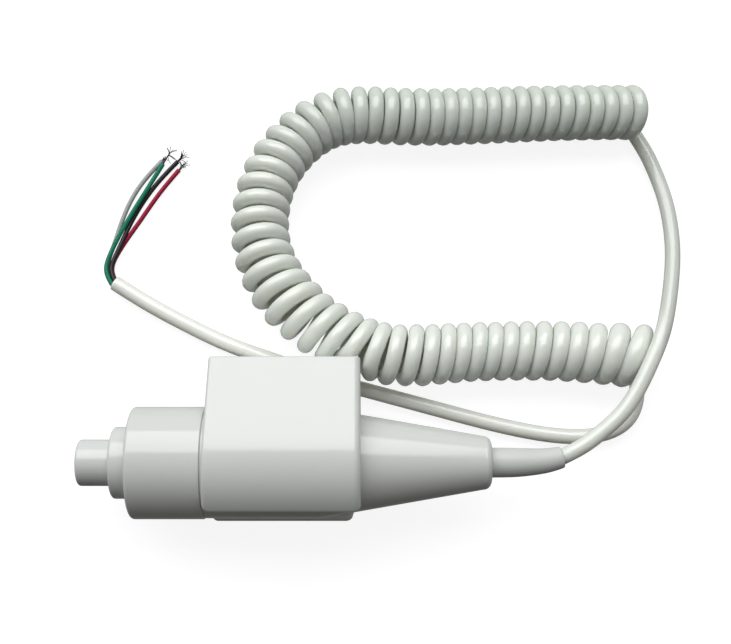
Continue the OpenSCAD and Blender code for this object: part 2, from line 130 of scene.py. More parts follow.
def tube_data(path, radii, sides):
    """Rings of vertices round a path, and the faces between them."""
    direction = headings(path)
    side = np.cross(direction[0], (0.0, 0.0, 1.0))
    if np.linalg.norm(side) < 1e-3:
        side = np.cross(direction[0], (0.0, 1.0, 0.0))
    angles = np.linspace(0, 2 * math.pi, sides, endpoint=False)
    verts = []
    for centre, d, r in zip(path, direction, radii):
        side = side - d * side.dot(d)
        side /= np.linalg.norm(side)
        top = np.cross(side, d)
        verts.append(centre + r * (np.cos(angles)[:, None] * side + np.sin(angles)[:, None] * top))
    return np.concatenate(verts), ring_faces(len(path), sides)


def new_object(name, verts, faces, material, smooth_angle):
    mesh = bpy.data.meshes.new(name)
    mesh.from_pydata([tuple(v) for v in verts], [], faces)
    return finish_mesh(name, mesh, material, smooth_angle)


def finish_mesh(name, mesh, material, smooth_angle):
    bm = bmesh.new()
    bm.from_mesh(mesh)
    bmesh.ops.recalc_face_normals(bm, faces=bm.faces)
    bm.to_mesh(mesh)
    bm.free()
    mesh.shade_smooth()
    mesh.set_sharp_from_angle(angle=math.radians(smooth_angle))
    mesh.materials.clear()
    mesh.materials.append(material)
    piece = bpy.data.objects.new(name, mesh)
    scene.collection.objects.link(piece)
    return piece


def rounded_tip(path, radius, edge):
    """The path and its radii with a small round at its end, so that the cut has no razor edge."""
    radii = np.broadcast_to(radius, len(path)).astype(float)
    heading = headings(path)[-1]
    angles = [math.radians(a) for a in (30, 60, 90)]
    tip = [path[-1] - heading * edge * (1 - math.sin(a)) for a in angles]
    tip_radii = [radii[-1] - edge * (1 - math.cos(a)) for a in angles]
    return np.concatenate([path[:-1], [path[-1] - heading * edge], tip]), np.r_[radii, tip_radii]


# ---------------------------------------------------------------- materials
class Nodes:
    """Builds a node tree with short calls."""

    def __init__(self, tree):
        self.tree = tree
        self.tree.nodes.clear()

    def add(self, kind, **inputs):
        node = self.tree.nodes.new(kind)
        for name, value in inputs.items():
            socket = node.inputs[name.replace("_", " ")]
            if isinstance(value, bpy.types.NodeSocket):
                self.tree.links.new(value, socket)
            else:
                socket.default_value = value
        return node

    def link(self, out, into):
        self.tree.links.new(out, into)

    def noise(self, coords, scale, detail=3.0, roughness=0.5):
        node = self.add("ShaderNodeTexNoise", Vector=coords, Scale=scale, Detail=detail,
                        Roughness=roughness)
        return node.outputs["Fac"]

    def bump(self, height, strength, mm, **inputs):
        node = self.add("ShaderNodeBump", Height=height, Strength=strength, **inputs)
        node.inputs["Distance"].default_value = mm * MM
        return node.outputs["Normal"]

    def remap(self, value, low, high, from_low=0.3, from_high=0.7):
        node = self.add("ShaderNodeMapRange", Value=value)
        for k, v in (("From Min", from_low), ("From Max", from_high), ("To Min", low), ("To Max", high)):
            node.inputs[k].default_value = v
        return node.outputs["Result"]

    def blend(self, factor, one, other):
        node = self.tree.nodes.new("ShaderNodeMix")
        node.data_type = "RGBA"
        self.link(factor, node.inputs["Factor"])
        for socket, value in ((node.inputs[6], one), (node.inputs[7], other)):
            if isinstance(value, bpy.types.NodeSocket):
                self.link(value, socket)
            else:
                socket.default_value = (*value, 1)
        return node.outputs[2]
    def surface(self, out):
        self.link(out, self.add("ShaderNodeOutputMaterial").inputs["Surface"])


def new_material(name):
    mat = bpy.data.materials.new(name)
    mat.use_nodes = True
    return mat, Nodes(mat.node_tree)


def tint(colour, gain):
    return tuple(min(1.0, c * gain) for c in colour)


# Painted light and shade on the cord's jacket: painted shade far towards +Y and on the lead at the right, and
# painted light low down near -Y where it lies on the table. Each pair says where a change begins and ends, in
# metres
PAINTED_SHADE_Y = (0.092, 0.12)
PAINTED_LEAD_SHADE_X, PAINTED_LEAD_SHADE_GAIN = (0.1185, 0.1215), 0.8
PAINTED_LIGHT_Z, PAINTED_LIGHT_Y = (0.0055, 0.0075), (0.058, 0.066)


def painted_light_and_shade(n, base, where, painted_lead_shade, painted_far_shade, low):
    """The jacket's colour with painted shade, darker far towards +Y and on the lead at the right, and painted
    light, whiter low down where it lies on the table near -Y.
    """
    place = n.add("ShaderNodeSeparateXYZ", Vector=where)
    # Painted shade: darker far towards +Y, and darker on the lead at the right
    base = n.blend(n.remap(place.outputs["Y"], 0, 1, *PAINTED_SHADE_Y), base, painted_far_shade)
    base = n.blend(n.remap(place.outputs["X"], 0, 1, *PAINTED_LEAD_SHADE_X), base, painted_lead_shade)
    # Painted light: whiter low down near -Y, where the cord lies on the table
    painted_light_mask = n.add("ShaderNodeMath", Value=n.remap(place.outputs["Z"], 1, 0, *PAINTED_LIGHT_Z))
    painted_light_mask.operation = "MULTIPLY"
    n.link(n.remap(place.outputs["Y"], 1, 0, *PAINTED_LIGHT_Y), painted_light_mask.inputs[1])
    return n.blend(painted_light_mask.outputs["Value"], base, low)


SPECK_MM, SPECK_GAIN = 0.7, 0.55
# Noise cells per metre along and across a scratch, and which way the scratches run, in radians
SCRATCH_CELLS, SCRATCH_TURN, SCRATCH_MM = (60, 900, 900), (0.3, 0.5, 0.4), 0.006


def plastic(name, colour, rough, mottle, cloud_mm, grain_mm, bump_mm, specks=0.0, scratches=0.0,
            scatter=0.0, scatter_mm=1.0, specular=0.5, painted_far_shade=None, low=None):
    """Moulded or extruded plastic: faint clouds, uneven gloss, fine grain, dust and hairline wear, and on the
    cord's jacket painted shade and painted light.
    """
    mat, n = new_material(name)
    where = n.add("ShaderNodeTexCoord").outputs["Object"]
    cloud = n.noise(where, 1000 / cloud_mm, 4.0)
    base = n.blend(n.remap(cloud, 0, 1), tint(colour, 1 - mottle), tint(colour, 1 + mottle * 0.5))
    # Painted shade and painted light on the cord's jacket
    if painted_far_shade:
        base = painted_light_and_shade(n, base, where, tint(colour, PAINTED_LEAD_SHADE_GAIN), painted_far_shade, low)
    gloss = n.noise(where, 1000 / (cloud_mm * 0.35), 5.0, 0.6)
    roughness = n.remap(gloss, *rough)
    if specks:
        dust = n.noise(where, 1000 / SPECK_MM, 2.0, 0.7)
        base = n.blend(n.remap(dust, 0, specks, 0.70, 0.78), base, tint(colour, SPECK_GAIN))
    normal = n.bump(n.noise(where, 1000 / grain_mm, 3.0, 0.6), 0.6, bump_mm)
    if scratches:
        long = n.add("ShaderNodeMapping", Vector=where)
        long.inputs["Scale"].default_value = SCRATCH_CELLS
        long.inputs["Rotation"].default_value = SCRATCH_TURN
        hair = n.noise(long.outputs["Vector"], 1.0, 6.0, 0.75)
        normal = n.bump(n.remap(hair, 0, scratches, 0.62, 0.70), 0.5, SCRATCH_MM, Normal=normal)
    shader = n.add("ShaderNodeBsdfPrincipled", Base_Color=base, Roughness=roughness, Normal=normal)
    shader.inputs["Specular IOR Level"].default_value = specular
    if scatter:
        shader.inputs["Subsurface Weight"].default_value = scatter
        shader.inputs["Subsurface Radius"].default_value = (1.0, 0.9, 0.75)
        shader.inputs["Subsurface Scale"].default_value = scatter_mm * MM
    n.surface(shader.outputs["BSDF"])
    return mat


TARNISH, TARNISH_MM, STREAK_MM = 0.15, 3.0, 0.003


def metal(name, colour, rough, grain_mm=0.3):
    """Bright or dull metal with streaks and a little tarnish."""
    mat, n = new_material(name)
    where = n.add("ShaderNodeTexCoord").outputs["Object"]
    cloud = n.noise(where, 1000 / TARNISH_MM, 4.0)
    base = n.blend(n.remap(cloud, 0, 1), tint(colour, 1 - TARNISH), tint(colour, 1.05))
    streak = n.noise(where, 1000 / grain_mm, 3.0, 0.7)
    roughness = n.remap(streak, *rough)
    normal = n.bump(streak, 0.4, STREAK_MM)
    shader = n.add("ShaderNodeBsdfPrincipled", Base_Color=base, Roughness=roughness, Normal=normal)
    shader.inputs["Metallic"].default_value = 1.0
    n.surface(shader.outputs["BSDF"])
    return mat


# What the three white mouldings share, and what the four wires share
MOULDED = {"bump_mm": 0.002, "scatter": 0.1, "scatter_mm": 1.2, "specular": 0.75}
INSULATION = {"rough": (0.3, 0.4), "cloud_mm": 5, "grain_mm": 0.2, "bump_mm": 0.003}

finishes = {
    "shell_white": plastic("shell_white", (0.645, 0.66, 0.635), rough=(0.12, 0.18), mottle=0.015,
                           cloud_mm=30, grain_mm=0.6, specks=0.15, scratches=0.4, **MOULDED),
    "button_white": plastic("button_white", (0.645, 0.66, 0.645), rough=(0.14, 0.2), mottle=0.015,
                            cloud_mm=20, grain_mm=0.5, specks=0.15, scratches=0.4, **MOULDED),
    "holder_white": plastic("holder_white", (0.66, 0.68, 0.655), rough=(0.12, 0.18), mottle=0.012,
                            cloud_mm=35, grain_mm=0.9, specks=0.1, scratches=0.6, **MOULDED),
    "relief_grey": plastic("relief_grey", (0.60, 0.62, 0.595), rough=(0.38, 0.48), mottle=0.03,
                           cloud_mm=10, grain_mm=0.35, bump_mm=0.006, specks=0.2, scratches=0.2,
                           scatter=0.15, scatter_mm=1.5),
    # The cord's jacket has painted shade far towards +Y and on the lead, and painted light low down near -Y
    "cord_jacket": plastic("cord_jacket", (0.765, 0.80, 0.745), rough=(0.09, 0.15), mottle=0.03,
                           cloud_mm=14, grain_mm=0.4, bump_mm=0.003, specks=0.15, scratches=0.2,
                           scatter=0.7, scatter_mm=4.0, specular=0.9, painted_far_shade=(0.57, 0.62, 0.565),
                           low=(0.88, 0.885, 0.82)),
    "frame_plastic": plastic("frame_plastic", (0.17, 0.185, 0.19), rough=(0.45, 0.6), mottle=0.08,
                             cloud_mm=6, grain_mm=0.15, bump_mm=0.01),
    "switch_black": plastic("switch_black", (0.012, 0.012, 0.013), rough=(0.35, 0.5), mottle=0.1,
                            cloud_mm=4, grain_mm=0.12, bump_mm=0.008),
    "plunger_red": plastic("plunger_red", (0.35, 0.015, 0.012), rough=(0.3, 0.4), mottle=0.05,
                           cloud_mm=3, grain_mm=0.15, bump_mm=0.004),
    "seal_rubber": plastic("seal_rubber", (0.01, 0.01, 0.01), rough=(0.6, 0.75), mottle=0.15,
                           cloud_mm=5, grain_mm=0.1, bump_mm=0.01),
    "plain_steel": metal("plain_steel", (0.56, 0.57, 0.58), (0.25, 0.42)),
    "spring_steel": metal("spring_steel", (0.45, 0.46, 0.47), (0.2, 0.35)),
    "terminal_brass": metal("terminal_brass", (0.66, 0.47, 0.20), (0.25, 0.4)),
    "wire_grey": plastic("wire_grey", (0.40, 0.405, 0.41), mottle=0.05, specular=0.3, **INSULATION),
    "wire_green": plastic("wire_green", (0.002, 0.19, 0.105), mottle=0.06, specular=0.25, **INSULATION),
    "wire_black": plastic("wire_black", (0.014, 0.011, 0.018), mottle=0.1, specular=0.35, **INSULATION),
    "wire_red": plastic("wire_red", (0.35, 0.006, 0.040), mottle=0.06, specular=0.25, **INSULATION),
    "tinned_copper": metal("tinned_copper", (0.06, 0.055, 0.055), (0.3, 0.5), grain_mm=0.1),
}

slot_of = {part["node"]: part["material_slot"] for part in frame["record"]["subparts"]}
for node_name, node in nodes.items():
    node.data.materials.clear()
    node.data.materials.append(finishes[slot_of[node_name]])


# ---------------------------------------------------------------- the cord, in millimetres
CORD_D = 5.0
CORD_R = CORD_D / 2
FLOOR_GAP = 0.05
LEAD_ROUTE = [
    (87, -5.3, 21), (94, -1.6, 21), (100, 2.8, 21), (106.4, 8.6, 21.1), (111.4, 15.6, 21.3),
    (116, 24.4, 21.4), (120, 33.4, 20.8), (123.2, 43.5, 17.8), (125.6, 53.5, 14.2),
    (127.2, 63, 10.8), (127.7, 72, 7.8), (127.2, 80.5, 5.4), (125.8, 88, 3.7),
    (123.6, 95, 2.9), (120.6, 101.8, 2.6),
]
TAIL_ROUTE = [
    (115.6, 21, 2.6), (115.2, 15.6, 2.6), (112.6, 9, 2.6), (108, 5.2, 2.6),
    (102, 3.2, 2.6), (95, 2.6, 2.6), (86, 3.2, 2.6), (76, 4.9, 2.6), (62, 8.2, 2.6),
    (46, 12.5, 2.6), (30, 16.8, 2.6), (12, 22, 2.6), (-6, 28.2, 2.6), (-20, 33.2, 2.6),
    (-34, 39.8, 2.6), (-47, 46.8, 2.6), (-59.1, 54.3, 2.6),
]
# Middle of the coil, seen from above
COIL_MIDDLE = [
    (117.4, 112), (92, 111.8), (66, 111), (46, 110.6), (33, 111), (22.5, 111.3), (13, 109.6),
    (4.5, 104.6), (-3, 96.5), (-8, 86.5), (-10, 75), (-9, 64), (-4.5, 53.4), (2.2, 45.1),
    (9.3, 39.4), (17.2, 35.2), (26, 31.6), (36, 29.8), (60, 29.8), (90, 29.9), (104, 29.7), (116.4, 29),
]
COIL_R = 6.8
# Points in a turn, and how unevenly the turns are wound
COIL_STEPS, COIL_WANDER = 28, 0.012
# Each table below runs along the coil, and its pairs begin with the number of a turn.
# How far along the middle line the turn begins
COIL_TURNS = [
    (0, 0), (10, 47.7), (17, 81.2), (20, 96.8), (23, 113), (30, 153), (37, 196), (40, 214.4), (43, 231),
    (45, 241.2), (46.5, 248.8), (48.5, 259), (50.5, 270), (51.5, 275.6), (52.5, 281.5), (53.5, 288),
    (54.5, 294.9), (55, 298.5),
]
# How far the inner side of the turn runs ahead of its outer side, more than in an even helix
COIL_SLANT = [
    (0, -2.4), (3, -1.7), (5, -1.3), (11, -1), (13, -1.3), (15, -2), (20, -2.2), (22, -2.6), (30, -2.6),
    (31.5, -2), (33, -0.6), (35, 0.6), (37, 1.8), (38.5, 1.6), (40, 0), (42, 0.4), (46, 0.7), (50, 0.8),
    (52, 1.4), (53.5, 1.8), (54.2, 2.8), (55, 4),
]
# How far the top of the turn leans along the coil
COIL_LEAN = [
    (0, -2.4), (4, -2.3), (8, -1.6), (11, -1.3), (15, -1.4), (18, -1.1), (20, -1.2), (33, -1.4),
    (36, -0.3), (39, 0), (42, 0.7), (48, 0.6), (52, 0.2), (55, -0.3),
]
# By how much the turn's radius is over COIL_R
COIL_WIDER = [
    (0, 0), (5, 0.1), (9, 0.3), (14, 0.36), (22, 0.36), (26, 0.32), (29, 0.3), (31, 0.45), (34, 1),
    (36, 1.1), (39, 1.2), (43, 0.7), (46, 0.4), (50, 0.35), (53, 0.2), (54, 0.2), (55, 0.6),
]
# How far the turn lies outside the middle line
COIL_ASIDE = [
    (0, 0), (33, 0), (35, 0.2), (38, 1.2), (41, 1.2), (44, 0.3), (47, 0), (51, 0), (52, 0.3), (54, 0.8),
    (55, 0.5),
]
# The cord's own radius in the turn
COIL_THICK = [
    (0, 2.46), (15, 2.48), (20, 2.56), (30, 2.66), (34, 2.74), (38, 2.68), (42, 2.58), (46, 2.56),
    (50, 2.72), (52, 2.97), (53, 3.1), (54.5, 3.4), (55, 2.5),
]
# The coil passes the holder's rear corner near here. CORNER_GAP is between the two surfaces, and what is
# lower than UNDER_CORNER passes below the holder's tapered side
NEAR_CORNER, NEAR_CORNER_R = (20, 30), 22
CORNER_GAP = 0.4
UNDER_CORNER = 5.2


def along(table, x):
    """A smooth value from a short table."""
    keys = np.array([a for a, _ in table], float)
    values = np.array([b for _, b in table], float)
    slopes = np.gradient(values, keys)
    i = np.clip(np.searchsorted(keys, x, side="right") - 1, 0, len(keys) - 2)
    w = keys[i + 1] - keys[i]
    t = (x - keys[i]) / w
    return ((2 * t**3 - 3 * t**2 + 1) * values[i] + (t**3 - 2 * t**2 + t) * w * slopes[i]
            + (3 * t**2 - 2 * t**3) * values[i + 1] + (t**3 - t**2) * w * slopes[i + 1])


def coil_path():
    """The cord's middle line in the coil and its radius there. It begins and ends at the bottom of a turn."""
    middle = spline(COIL_MIDDLE, 0.5)
    forward = headings(middle)
    station = np.r_[0, np.cumsum(np.linalg.norm(np.diff(middle, axis=0), axis=1))]
    last = COIL_TURNS[-1][0]
    turn = np.linspace(0, last, last * COIL_STEPS + 1)
    s = along(COIL_TURNS, turn) * station[-1] / COIL_TURNS[-1][1]
    centre = np.stack([np.interp(s, station, middle[:, k]) for k in (0, 1)], 1)
    ahead = np.stack([np.interp(s, station, forward[:, k]) for k in (0, 1)], 1)
    ahead /= np.linalg.norm(ahead, axis=1)[:, None]
    outward = np.stack([ahead[:, 1], -ahead[:, 0]], 1)
    phase = math.pi + 2 * math.pi * turn
    wander = np.array([noise.noise(Vector((t * 0.9, 3.1, 0.0))) for t in turn])
    radius = COIL_R * (1 + COIL_WANDER * wander) + along(COIL_WIDER, turn)
    shift = along(COIL_SLANT, turn) / 2 * np.sin(phase) + along(COIL_LEAN, turn) * np.cos(phase)
    across = along(COIL_ASIDE, turn) - radius * np.sin(phase)
    flat = centre + ahead * shift[:, None] + outward * across[:, None]
    thick = along(COIL_THICK, turn)
    height = radius + thick + FLOOR_GAP + radius * np.cos(phase)
    path = np.column_stack([flat, height])
    return clear_of_holder(path), thick


def clear_of_holder(path):
    """Turns beside the holder's rear corner are pushed off it by the least distance."""
    low, high = (np.array(c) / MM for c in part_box("holder"))
    reach = CORD_R + CORNER_GAP
    edge_x, edge_y = high[0] + reach, high[1] + reach
    moved = path.copy()
    for i, (x, y, z) in enumerate(path):
        if x < edge_x and y < edge_y and z > UNDER_CORNER:
            if edge_x - x < edge_y - y:
                moved[i, 0] = edge_x
            else:
                moved[i, 1] = edge_y
    for _ in range(3):
        moved[1:-1] = (moved[:-2] + 2 * moved[1:-1] + moved[2:]) / 4
    beside = np.hypot(path[:, 0] - NEAR_CORNER[0], path[:, 1] - NEAR_CORNER[1]) < NEAR_CORNER_R
    near = (np.abs(moved - path).max(axis=1) > 1e-6) & beside
    path[near] = moved[near]
    return path


def full_cord():
    """The whole cord's middle line and its radius at each point."""
    coil, thick = coil_path()
    sparse = slice(2, -2, 2)
    route = np.concatenate([LEAD_ROUTE, coil[sparse], TAIL_ROUTE])
    lead_radii, tail_radii = np.full(len(LEAD_ROUTE), CORD_R), np.full(len(TAIL_ROUTE), CORD_R)
    radii = np.concatenate([lead_radii, thick[sparse], tail_radii])
    line = spline(route, 1.5)
    at = np.r_[0, np.cumsum(np.linalg.norm(np.diff(route, axis=0), axis=1))]
    share = np.linspace(0, at[-1], len(line))
    radii = np.interp(share, at, radii)
    line[:, 2] = np.maximum(line[:, 2], radii + FLOOR_GAP)
    return line, radii


cord_path, cord_radii = (v * MM for v in full_cord())
swept, swept_radii = rounded_tip(cord_path, cord_radii, 0.25 * MM)
cord = new_object("curly_cord", *tube_data(swept, swept_radii, 20), finishes["cord_jacket"], 60)
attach(cord, HANDLE)
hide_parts("cord_lead", "cord_curl", "cord_tail")

# Strain-relief sleeve, which bends with the cord: its route, and its radius at distances along it
RELIEF_ROUTE = [(64.7, -7, 21), (71, -7, 21), (77.4, -6.8, 21), (83, -6.2, 21), (86.6, -5.4, 21)]
RELIEF_RADII = [(0, 4.7), (8, 4.55), (14, 4.15), (19, 3.75), (22, 3.45)]
RELIEF_EDGE = 0.6
RELIEF_SIDES = 48


def strain_relief():
    path = spline(RELIEF_ROUTE, 0.6)
    at = np.linspace(0, path_length(path), len(path))
    radii = along(RELIEF_RADII, np.clip(at, 0, RELIEF_RADII[-1][0]))
    d = headings(path)
    ends = [math.radians(a) for a in (30, 60, 90)]
    cap = [path[-1] + d[-1] * RELIEF_EDGE * math.sin(a) for a in ends]
    cap_radii = [radii[-1] - RELIEF_EDGE * (1 - math.cos(a)) for a in ends]
    # The end face runs in to the cord
    inside = [cap[-1], cap[-1] - d[-1] * 0.5]
    inside_radii = [CORD_R + 0.12, CORD_R + 0.1]
    full = np.concatenate([path, cap, inside]) * MM
    full_radii = np.r_[radii, cap_radii, inside_radii] * MM
    direction = np.concatenate([d, [d[-1]] * (len(cap) + len(inside))])
    angles = np.linspace(0, 2 * math.pi, RELIEF_SIDES, endpoint=False)
    side = np.cross(direction, (0.0, 0.0, 1.0))
    side /= np.linalg.norm(side, axis=1)[:, None]
    top = np.cross(side, direction)
    verts = [c + r * (math.cos(a) * s + math.sin(a) * t)
             for c, r, s, t in zip(full, full_radii, side, top) for a in angles]
    faces = ring_faces(len(full), RELIEF_SIDES)
    return new_object("strain_relief_sleeve", verts, faces, finishes["relief_grey"], 50)


relief = strain_relief()
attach(relief, HANDLE)
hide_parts("strain_relief")

# ---------------------------------------------------------------- wires and bare strands
WIRE_R = 0.77
WIRE_ROUTES = {
    "grey": [(-59.8, 53.6, 1.7), (-62, 60, 1), (-60.6, 66.5, 0.8), (-57.6, 76.6, 0.8), (-52.4, 88, 0.8),
             (-44.6, 97.7, 0.8)],
    "green": [(-59.8, 53.6, 3.5), (-62, 58.6, 3.1), (-61, 64, 2.7), (-55.5, 76, 2.3), (-48, 89.5, 1.8),
              (-44.2, 96.3, 1.6)],
    "black": [(-58.9, 54.9, 3.5), (-60.3, 58.6, 2.9), (-59, 64, 2.5), (-54.4, 76, 0.9), (-46.5, 89, 0.9),
              (-39.3, 97.3, 0.9)],
    "red": [(-58.9, 54.9, 1.7), (-60.4, 59.5, 1.2), (-58.9, 64.5, 0.8), (-52, 75.6, 0.8), (-45, 86.3, 0.8),
            (-38.7, 94.4, 0.8)],
}
# For each wire: how many strands, their length, how long they stay together, how far they spread,
# and the spread's balance (1 is as much to the left as to the right, less is more to the right)
STRANDS = {
    "grey": (7, 2.6, 0.5, 0.55, 0.75),
    "green": (20, 8.0, 3.4, 0.8, 0.4),
    "black": (13, 5.0, 0.7, 0.7, 0.75),
    "red": (12, 4.4, 0.6, 0.8, 0.9),
}
STRAND_R = 0.09
STRAND_POINTS = 8

wire_pieces, wire_lines = {}, {}
for colour, route in WIRE_ROUTES.items():
    line = spline(route, 1.0) * MM
    wire_lines[colour] = line
    verts, faces = tube_data(*rounded_tip(line, WIRE_R * MM, 0.12 * MM), 14)
    wire = new_object("wire_insulation_" + colour, verts, faces, finishes["wire_" + colour], 60)
    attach(wire, HANDLE)
    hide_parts("wire_" + colour)
    wire_pieces[colour] = wire


def frayed_strands():
    """Fine tinned strands that leave each wire together, then splay."""
    rng = random.Random(7)
    verts, faces = [], []
    for colour, (count, length, together, spread, balance) in STRANDS.items():
        line = wire_lines[colour] / MM
        tip = line[-1]
        ahead = headings(line)[-1]
        side = np.cross(ahead, (0.0, 0.0, 1.0))
        side /= np.linalg.norm(side)
        up = np.cross(side, ahead)
        for k in range(count):
            angle = 2 * math.pi * (k + rng.random() * 0.6) / count
            packed = 0.34 * math.sqrt(rng.random() * 0.9 + 0.1)
            sweep = spread * (rng.random() * 2 - balance) * (1.3 if k % 3 == 0 else 0.8)
            lift = 0.35 * spread * rng.random()
            long = length * (0.55 + 0.45 * rng.random())
            curl = rng.uniform(-0.5, 0.5)
            points = []
            for d in np.linspace(0, 1, STRAND_POINTS) * long:
                free = max(0.0, (d - together) / max(0.5, long - together))
                twist = angle + 1.6 * d / length
                # Strands that stay together for long are twisted tight
                tighter = 0.45 * min(1.0, d / max(together, 0.5)) if together > 2 else 0
                offset = packed * (1 - tighter) * (math.cos(twist) * side + math.sin(twist) * up)
                bow = free * free * (long - together)
                reach = (d + 0.5) * (1 - 0.42 * abs(sweep) * free)
                point = tip + ahead * (reach - 0.5) + offset + side * bow * (sweep + curl * free * 0.4)
                point = point + up * bow * lift
                point[2] = max(point[2], STRAND_R + 0.02)
                points.append(point)
            path = spline(points, 0.45) * MM
            v, f = tube_data(path, np.full(len(path), STRAND_R * MM), 6)
            faces += [tuple(i + len(verts) for i in face) for face in f]
            verts += [tuple(p) for p in v]
    return new_object("frayed_strands", verts, faces, finishes["tinned_copper"], 60)


strands = frayed_strands()
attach(strands, HANDLE)
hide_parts("bare_strands")

for colour, wire in wire_pieces.items():
    line = wire_lines[colour]


# ---------------------------------------------------------------- return springs
SPRING_TURNS = 5
# The turns at each end that lie closed
CLOSED_TURNS = 0.9


def return_spring(node, wire_r, body):
    """A coil spring in the CAD spring's place, with closed ends."""
    low, high = (np.array(c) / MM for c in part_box(node))
    start, stop = low[0] + wire_r + 0.05, high[0] - wire_r - 0.05
    coil_r = (high[2] - low[2]) / 2 - wire_r
    turn = np.linspace(0, SPRING_TURNS, SPRING_TURNS * 32 + 1)
    closed = 2 * wire_r + 0.05
    rise = [(0, 0), (CLOSED_TURNS, closed), (SPRING_TURNS - CLOSED_TURNS, stop - start - closed),
            (SPRING_TURNS, stop - start)]
    x = start + np.interp(turn, [a for a, _ in rise], [b for _, b in rise])
    x[1:-1] = (x[:-2] + 2 * x[1:-1] + x[2:]) / 4
    angle = 2 * math.pi * turn
    line = np.column_stack([x, (low[1] + high[1]) / 2 + coil_r * np.cos(angle),
                            (low[2] + high[2]) / 2 + coil_r * np.sin(angle)])
    spring = new_object(node + "_coil", *tube_data(line * MM, np.full(len(line), wire_r * MM), 12),
                        finishes["spring_steel"], 60)
    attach(spring, body)
    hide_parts(node)
    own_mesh(spring)


return_spring("second_stage_spring", 0.45, "handle")
return_spring("first_stage_spring", 0.3, "second_stage")


# ---------------------------------------------------------------- the holder, in millimetres
AXIS_Y, AXIS_Z = -7.065, 21.0
BORE_R, HOLDER_R, HOLDER_DEPTH = 17.8, 21.0, 32.0
TAPER = math.radians(17.5)
UPPER_LIP, LOWER_LIP = math.radians(46.5), math.radians(57)
LIP_CORNER, LOWER_CUT, BACK_CORNER = 2.4, 2.4, 0.8
HOLDER_X = (-23.6, 24.0)
# Rounds along the outer edges at the button end and the cord end, and along the inner edges
END_ROUND, INNER_ROUND = (1.2, 2.2), 0.7
# Sections this far from each end follow the rounds
ROUND_STEPS = [0, 0.04, 0.15, 0.33, 0.57, 0.85, 1.2, 1.6, 2, 2.4, 2.9, 3.5, 4.2, 4.8]
# How much each end face leans along X per millimetre of Y
LEFT_DRAFT, RIGHT_DRAFT = 0.016, -0.006
SCREWS_X, SCREW_R, DRIVER_R = (-14.8, 15.2), 2.1, 4.2


def inset(radius, depth):
    """How far a round edge has drawn a surface in, this deep from the end face."""
    return radius - math.sqrt(max(0.0, radius**2 - max(0.0, radius - depth) ** 2))


def lip_reach(x, lower):
    """How far the lip comes forward of the handle's axis, at this station."""
    angle = LOWER_LIP if lower else UPPER_LIP
    full = 19.4 * math.sin(angle) + 1.6
    right = HOLDER_X[1] - (LOWER_CUT if lower else 0)
    if x > right:
        return full - LIP_CORNER - 4 * (x - right)
    near = min(x - HOLDER_X[0], right - x)
    return full - inset(LIP_CORNER, near)


def turn_arc(centre, radius, start, end, count):
    """Points on an arc in the holder's section. Angles run from the top towards the back."""
    return [(centre[0] + radius * math.sin(a), centre[1] + radius * math.cos(a))
            for a in np.linspace(start, end, count)]


def holder_section(x):
    """The holder's outline at this station, as points back from and above the handle's axis."""
    depths = (x - HOLDER_X[0], HOLDER_X[1] - x)
    outer = max(inset(r, d) for r, d in zip(END_ROUND, depths))
    inner = max(inset(INNER_ROUND, d) for d in depths)
    out_r, in_r = HOLDER_R - outer, BORE_R + inner
    mid_r, half = (out_r + in_r) / 2, (out_r - in_r) / 2
    top = math.asin((lip_reach(x, False) - half) / mid_r)
    low = math.asin((lip_reach(x, True) - half) / mid_r)
    corner_y = HOLDER_DEPTH - inner - BACK_CORNER
    corner_z = (out_r - BACK_CORNER - corner_y * math.sin(TAPER)) / math.cos(TAPER)
    points = turn_arc((0, 0), out_r, -top, TAPER, 44)
    points += turn_arc((corner_y, corner_z), BACK_CORNER, TAPER, math.pi / 2, 7)
    points += turn_arc((corner_y, -corner_z), BACK_CORNER, math.pi / 2, math.pi - TAPER, 7)
    points += turn_arc((0, 0), out_r, math.pi - TAPER, math.pi + low, 48)
    end = (-mid_r * math.sin(low), -mid_r * math.cos(low))
    points += turn_arc(end, half, math.pi + low, 2 * math.pi + low, 12)[1:-1]
    points += turn_arc((0, 0), in_r, math.pi + low, -top, 110)
    end = (-mid_r * math.sin(top), mid_r * math.cos(top))
    points += turn_arc(end, half, math.pi - top, 2 * math.pi - top, 12)[1:-1]
    return points


def holder_mesh():
    low, high = HOLDER_X
    xs = [low + d for d in ROUND_STEPS]
    xs += list(np.linspace(low + 6, high - 6, 8)) + [high - d for d in ROUND_STEPS[::-1]]
    verts, count = [], 0
    for x in xs:
        section = holder_section(x)
        count = len(section)
        share = (x - low) / (high - low)
        for back, up in section:
            y = AXIS_Y + back
            left, right = low + 0.1 + LEFT_DRAFT * y, high - 0.1 + RIGHT_DRAFT * y
            verts.append(((left + share * (right - left)) * MM, y * MM, (AXIS_Z + up) * MM))
    mesh = bpy.data.meshes.new("holder_body")
    mesh.from_pydata(verts, [], ring_faces(len(xs), count))
    bm = bmesh.new()
    bm.from_mesh(mesh)
    bmesh.ops.recalc_face_normals(bm, faces=bm.faces)
    bmesh.ops.triangulate(bm, faces=[f for f in bm.faces if len(f.verts) > 4])
    bm.to_mesh(mesh)
    bm.free()
    return mesh


def cutter(name, shape):
    mesh = bpy.data.meshes.new(name)
    bm = bmesh.new()
    shape(bm)
    bmesh.ops.recalc_face_normals(bm, faces=bm.faces)
    bm.to_mesh(mesh)
    bm.free()
    tool = bpy.data.objects.new(name, mesh)
    scene.collection.objects.link(tool)
    return tool


